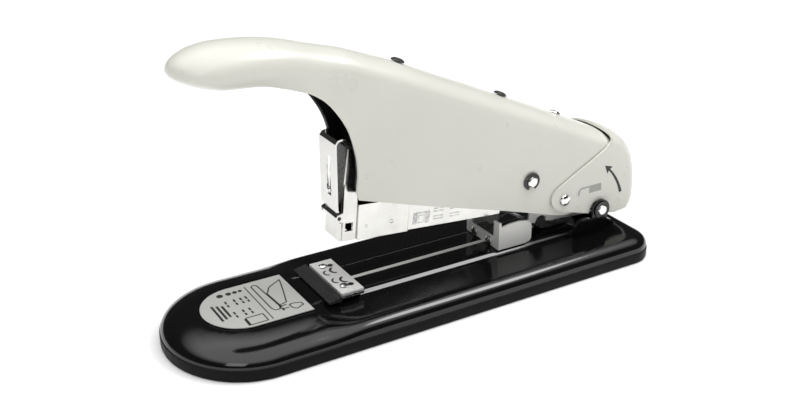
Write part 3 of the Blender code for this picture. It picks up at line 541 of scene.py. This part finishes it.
CAP = [
    ((115.8, 65.0), (117.4, 69.0), 4.1, 0), ((113.6, 62.6), (120.6, 68.3), 7.0, 0),
    ((110.6, 60.2), (125.0, 66.2), 8.6, 0), ((96.0, 52.4), (131.0, 62.3), 9.5, 0),
    ((86.0, 47.2), (135.3, 57.5), 10, 0), ((79.4, 43.2), (138.0, 52.0), 10, 0),
    ((76.9, 39.4), (139.6, 46.0), 10, 0), ((77.6, 35.2), (140.5, 40.0), 10, 0),
    ((82.0, 31.4), (141.0, 34.0), 10, 0), ((96.0, 26.9), (141.0, 29.0), 10, 0),
    ((106.0, 24.0), (140.2, 25.4), 10, 0), ((122.0, 21.0), (138.6, 22.6), 10, 0)]


def lerp(table, x):
    """Straight-line reading of a table of (x, value)."""
    if x <= table[0][0]:
        return table[0][1]
    for (x0, v0), (x1, v1) in zip(table, table[1:]):
        if x <= x1:
            return v0 + (v1 - v0) * (x - x0) / (x1 - x0)
    return table[-1][1]


TIP_X, GRIP_X = -121.0, -100.0    # the grip's tip, and where its round end begins
COVER_TOP = 147.3
CAP_REAR = 141.0
CAP_HALF = 18.5
COVER_SHEET = CAP_SHEET = 1.2


def cover_half(x):
    """Half width of the cover, an ellipse at the grip's end."""
    if x < GRIP_X:
        return 17.0 * math.sqrt(max(0.0, 1 - ((GRIP_X - x) / (GRIP_X - TIP_X)) ** 2))
    return lerp(TOP_HALF, x)


def section(sec, half, side_in, crown_in, flats=6, arcs=14, max_x=1e9):
    """Points of one section: a flat side, a rounded crown and the other side."""
    bx, bz, tx, tz, dome, curl = sec
    b, t = Vector((bx, bz)), Vector((min(tx, max_x), tz))
    length = max((t - b).length, 1e-6)
    d = (t - b) / length
    top = length - crown_in
    dome = min(dome, length * 0.98)
    s0 = length - dome
    pts = []
    for k in range(flats):
        s = s0 * k / flats
        p = b + d * s
        y = (half(p.x) - side_in) * (1 - curl * ((s0 - s) / max(s0, 1e-6)) ** 2)
        pts.append((p.x, max(y, 0.0), p.y))
    for k in range(arcs + 1):
        phi = math.radians(90.0 * k / arcs)
        s = s0 + (top - s0) * math.sin(phi)
        p = b + d * s
        pts.append((p.x, max(0.0, half(p.x) - side_in) * math.cos(phi), p.y))
    return [(x, -y, z) for x, y, z in pts[:-1]] + [(pts[-1][0], 0.0, pts[-1][2])] + \
        pts[:-1][::-1]


def make_cover():
    """The off-white cover, from the grip's tip to the tail."""
    tip_wall = 1.6
    secs = smooth_rows(COVER, 5)[:-1] + smooth_rows(COVER_BACK, 4)
    for s in secs:
        s[3] = min(s[3], COVER_TOP)
        s[0], s[2] = max(s[0], TIP_X), max(s[2], TIP_X)
    outer = [section(s, cover_half, 0.0, 0.0) for s in secs]
    inner = [section(s, cover_half, COVER_SHEET, COVER_SHEET) for s in secs]
    inner[0] = [(x + tip_wall, 0.0, z) for x, y, z in inner[0]]
    outer[0] = [(x, 0.0, z) for x, y, z in outer[0]]
    # Past the first rows its inner face takes the black lever paint, as painted shade inside the
    # hollow cover.
    finish_piece("handle_cover_finish", skin(outer, inner, inside=1), "cover", "handle",
                 ("handle_cover",), inside="lever")


def make_cap():
    """The rear cap, notched round the hinge pin."""
    secs = smooth_rows(CAP, 5)
    outer = [section(s, lambda x: CAP_HALF, 0.0, 0.0, 6, 12, CAP_REAR) for s in secs]
    inner = [section(s, lambda x: CAP_HALF - CAP_SHEET, 0.0, CAP_SHEET, 6, 12, CAP_REAR)
             for s in secs]
    # Past the first rows its inner face takes the black lever paint, as painted shade inside the
    # hollow cap.
    ob = finish_piece("rear_cap_finish", skin(outer, inner, inside=1), "cover", "rear_cap",
                      ("rear_cap",), inside="lever")
    notch = [(103.4, 15), (103.4, 25)] + ring(109.3, 25.6, 5.9, 14, 175, -170) + [(115.2, 15)]
    carve(ob, prism(notch, -30, 30))


INK_BED = 0.06               # how deep a printed mark's body reaches under the surface


def arrow_bm(side):
    """A curved arrow that points up and forward, on the cap's flat side."""
    cx, cz, r = 90.1, 21.8, 36.6        # the middle and radius of its arc
    outer, inner = [], []
    for k in range(15):
        a = math.radians(17.6 + 28.4 * k / 14)
        w = 0.95 - 0.45 * k / 14
        outer.append((cx + (r + w) * math.cos(a), cz + (r + w) * math.sin(a)))
        inner.append((cx + (r - w) * math.cos(a), cz + (r - w) * math.sin(a)))
    a, tip = math.radians(45.2), math.radians(53.0)
    head = [(cx + (r + 2.5) * math.cos(a), cz + (r + 2.5) * math.sin(a)),
            (cx + (r + 0.2) * math.cos(tip), cz + (r + 0.2) * math.sin(tip)),
            (cx + (r - 2.3) * math.cos(a), cz + (r - 2.3) * math.sin(a))]
    y0, y1 = sorted((side * (CAP_HALF - INK_BED), side * (CAP_HALF + 0.1)))
    return prism(outer + head + inner[::-1], y0, y1)


def cap_icon_bm(side):
    """A block of staples with one leg curling off it."""
    y0, y1 = sorted((side * (CAP_HALF - INK_BED), side * (CAP_HALF + 0.08)))
    bm = prism([(102.2, 37.2), (110.7, 37.2), (110.4, 41.5), (102.2, 41.5)], y0, y1)
    leg = [(101.9, 41.5), (97.5, 41.5)] + ring(97.3, 38.9, 2.6, 8, 95, 80)
    leg += [(94.7, 37.0), (95.6, 37.0)] + ring(97.3, 38.9, 1.7, 8, 175, -80)
    return prism(leg + [(97.5, 40.6), (101.9, 40.6)], y0, y1, "XZ", bm)


def bar(bm, x, y, w, h, lo, hi, plane):
    """A filled rectangle with its lower corner at x, y."""
    prism([(x, y), (x + w, y), (x + w, y + h), (x, y + h)], lo, hi, plane, bm)


def box_lines(bm, x, z, w, h, t, lo, hi, plane):
    """An outlined rectangle of line width t."""
    for x0, z0, dx, dz in ((x, z, w, t), (x, z + h - t, w, t), (x, z + t, t, h - 2 * t),
                           (x + w - t, z + t, t, h - 2 * t)):
        bar(bm, x0, z0, dx, dz, lo, hi, plane)


def make_marks():
    """The cap's two marks, the magazine's pictogram and bars, and the nose's dimples."""
    for side, tag in ((-1, "near"), (1, "far")):
        finish_piece("cap_arrow_" + tag, arrow_bm(side), "ink", "rear_cap",
                     smooth=False)
        finish_piece("cap_icon_" + tag, cap_icon_bm(side), "grey_ink", "rear_cap",
                     smooth=False)
        y0, y1 = sorted((side * 7.95, side * 8.12))
        bm = bmesh.new()
        for x, z, w, h in ((-114.6, 4.0, 2.4, 5.6), (-107.2, 4.0, 2.4, 5.6),
                           (-114.6, 9.6, 9.8, 0.7)):
            bar(bm, x, z, w, h, y0, y1, "XZ")
        box_lines(bm, -111.6, 4.4, 3.8, 4.2, 0.3, y0, y1, "XZ")
        for x in (-102.3, -92.3):
            for z in (5.0, 9.2):
                for dx, w in ((0.0, 2.0), (2.6, 0.5), (3.7, 2.2)):
                    bar(bm, x + dx, z, w, 0.5, y0, y1, "XZ")
                    bar(bm, x + dx, z + 1.5, w, 0.5, y0, y1, "XZ")
        # The raised marks take the darker embossing metal, as painted shade of their relief.
        finish_piece("magazine_marks_" + tag, bm, "emboss", "head",
                     smooth=False, level=True)
        flatten, nose_half = 0.22, 9.18
        for k, (x, z, r) in enumerate(((-142.3, 8.5, 0.8), (-128.0, 8.7, 1.1))):
            bm = bmesh.new()
            bmesh.ops.create_uvsphere(bm, u_segments=24, v_segments=12, radius=r)
            bmesh.ops.scale(bm, verts=bm.verts, vec=(1, flatten, 1))
            bmesh.ops.translate(bm, verts=bm.verts, vec=(x, side * nose_half, z))
            finish_piece("nose_dimple_%s_%d" % (tag, k), bm, "nickel", "head",
                         level=True)


def make_label():
    """Plain pictograms and ruled bars on the label, with no lettering."""
    z0, z1 = 15.89, 15.93
    bm = bmesh.new()

    def line(x, y, w, d):
        bar(bm, x, y, w, d, z0, z1, "XY")

    def outline_xy(pts, t):
        """A closed line of width t round a run of points."""
        for (x0, y0), (x1, y1) in zip(pts, pts[1:] + pts[:1]):
            d = Vector((x1 - x0, y1 - y0))
            n = Vector((-d.y, d.x)).normalized() * t / 2
            prism([(x0 + n.x, y0 + n.y), (x1 + n.x, y1 + n.y), (x1 - n.x, y1 - n.y),
                   (x0 - n.x, y0 - n.y)], z0, z1, "XY", bm)
    for k, x in enumerate((-100.4, -95.9, -92.6, -89.8)):
        w = 1.75 - 0.22 * k
        prism(ring(x, 14.4, w, 8, 22.5), z0, z1, "XY", bm)
        for y, d in ((5.6, 2.6), (2.4, 2.2), (-5.4, 2.4), (-8.6, 2.2)):
            if k < 3 or y > 0:
                line(x - 0.5, y, 1.0, d)
    for k in range(3):
        line(-108.4 + 2.3 * k, -8.5 + 1.0 * k, 1.2, 15.5 - 2.0 * k)
    line(-86.8, -18.2, 0.55, 35.0)
    outline_xy([(-97.8, -11.2), (-89.0, -11.2), (-89.0, -18.0), (-97.8, -18.0)], 0.65)
    line(-98.9, -18.4, 0.9, 6.6)
    outline_xy([(-83.6, 15.0), (-82.2, 16.2), (-80.6, 15.2), (-79.0, -9.0), (-80.0, -11.6),
                (-82.4, -11.4), (-83.4, -9.0)], 0.65)
    outline_xy([(-77.8, 7.4), (-76.0, 10.4), (-71.4, 13.2), (-68.2, 15.0), (-69.2, 11.0),
                (-71.8, 2.0), (-74.6, -7.0), (-78.6, -8.0), (-79.4, 5.0)], 0.65)
    outline_xy([(-74.6, -10.2), (-72.8, -9.6), (-68.6, -10.8), (-68.4, -13.2), (-72.6, -15.2),
                (-74.2, -13.6)], 0.65)
    for y in (-9.6, -12.6):
        line(-78.8, y, 3.2, 0.7)
        line(-79.4, y - 1.0, 1.1, 2.4)
    finish_piece("label_print", bm, "ink", "base", smooth=False)
    rim = prism([(-66.0, -19.9), (-66.0, 19.9)] + ring(-95, 0, 19.9, 48, 90, 180), 15.5, 15.88,
                "XY")
    finish_piece("label_plate", rim, "label", "base",
                 ("instruction_label",), smooth=False)


def make_anvil_marks():
    """Painted shade of the clinch recesses, drawn as dark inlaid lines between the two rivets.
    """
    z0, z1 = 18.38, 18.45
    bm = bmesh.new()
    for side in (-1, 1):
        for cx, cy, r0, r1 in ((-41.2, 5.6, 3.4, 2.4), (-45.6, 4.6, 2.9, 2.0)):
            pts = ring(cx, side * cy, r0, 14, 100, 160) + ring(cx, side * cy, r1, 14, 260, -160)
            prism(pts, z0, z1, "XY", bm)
        prism(ring(-41.4, side * 11.2, 1.5, 20), z0, z1, "XY", bm)
    finish_piece("anvil_recess_shade_lines", bm, "recess_shade", "base", smooth=False)


def make_screw_slots():
    """Painted shade of the cross recesses in the heads of the depth stop's two screws, drawn as
    raised dark crosses in the black lever paint.
    """
    arm, half = 1.5, 0.25
    for side, tag in ((-1, "l"), (1, "r")):
        bm = bmesh.new()
        y, z, x = side * 6.6, 18.4, 43.58
        for w, h in ((arm, half), (half, arm)):
            bar(bm, y - w, z - h, 2 * w, 2 * h, x - 0.02, x + 0.25, "YZ")
        finish_piece("stop_screw_recess_shade_" + tag, bm, "lever", "depth_stop",
                     smooth=False)


# ---------------------------------------------------------------- stage
def make_stage():
    """A wide flat floor."""
    me = bpy.data.meshes.new("floor")
    bm = bmesh.new()
    bmesh.ops.create_grid(bm, x_segments=1, y_segments=1, size=12.0)
    bm.to_mesh(me)
    bm.free()
    mat, tree, bsdf = new_mat("floor_white")
    vec = coords(tree)
    col = mix_colour(tree, span(tree, noise(tree, vec, 3.0), 0.0, 1.0), (0.93, 0.93, 0.93, 1),
                     (0.915, 0.915, 0.915, 1))
    tree.links.new(col, bsdf.inputs["Base Color"])
    bsdf.inputs["Roughness"].default_value = 0.9
    bsdf.inputs["Specular IOR Level"].default_value = 0.1
    me.materials.append(mat)
    floor = bpy.data.objects.new("floor", me)
    bpy.context.scene.collection.objects.link(floor)


def aim(ob, target):
    """Turn a light or the camera to face a point, in metres."""
    ob.rotation_euler = (Vector(target) - ob.location).to_track_quat("-Z", "Y").to_euler()


def area(name, at, target, size, size_y, power):
    """A white rectangular light, in metres and watts."""
    light = bpy.data.lights.new(name, "AREA")
    light.shape = "RECTANGLE"
    light.size, light.size_y, light.energy = size, size_y, power
    ob = bpy.data.objects.new(name, light)
    ob.location = at
    bpy.context.scene.collection.objects.link(ob)
    aim(ob, target)


def make_light():
    """A bright ceiling over dark studio walls, a softbox for the shoulder and a small fill."""
    bpy.context.scene.view_settings.view_transform = "Standard"
    world = bpy.data.worlds.new("studio")
    bpy.context.scene.world = world
    world.use_nodes = True
    tree = world.node_tree
    bg = tree.nodes["Background"]
    tc = tree.nodes.new("ShaderNodeTexCoord")
    split = tree.nodes.new("ShaderNodeSeparateXYZ")
    tree.links.new(tc.outputs["Generated"], split.inputs["Vector"])
    walls, ceiling, backdrop = (0.02, 0.02, 0.02, 1), (1, 1, 1, 1), (0.45, 0.45, 0.45, 1)
    level = span(tree, split.outputs["Z"], 0.0, 1.0, 0.62, 0.84)
    room = mix_colour(tree, level, walls, ceiling)
    seen = tree.nodes.new("ShaderNodeLightPath").outputs["Is Camera Ray"]
    tree.links.new(mix_colour(tree, seen, room, backdrop), bg.inputs["Color"])
    bg.inputs["Strength"].default_value = 2.15
    area("softbox", (0.50, -0.12, 0.88), (0, 0, 0.02), 0.42, 0.30, 3.6)
    area("fill", (-0.75, -0.75, 0.75), (0, 0, 0.05), 0.5, 0.5, 2.4)


def make_camera():
    """A 48 mm lens half a metre from the object, in front of it, to its left and above."""
    cam = bpy.data.cameras.new("camera")
    cam.sensor_width = 36.0
    cam.lens = 48.05
    cam.clip_start = 0.01
    ob = bpy.data.objects.new("camera", cam)
    target = Vector((-0.00641 - OX * MM, 0.0, 0.04572))
    az, el, d = math.radians(-30.84), math.radians(25.19), 0.54108
    ob.location = target + d * Vector((math.sin(az) * math.cos(el), -math.cos(az) *
                                       math.cos(el), math.sin(el)))
    bpy.context.scene.collection.objects.link(ob)
    aim(ob, target)
    bpy.context.scene.camera = ob


make_camera()
dress_nodes()
make_shell()
make_skirt()
make_cover()
make_cap()
make_marks()
make_label()
make_anvil_marks()
make_screw_slots()
make_stage()
make_light()
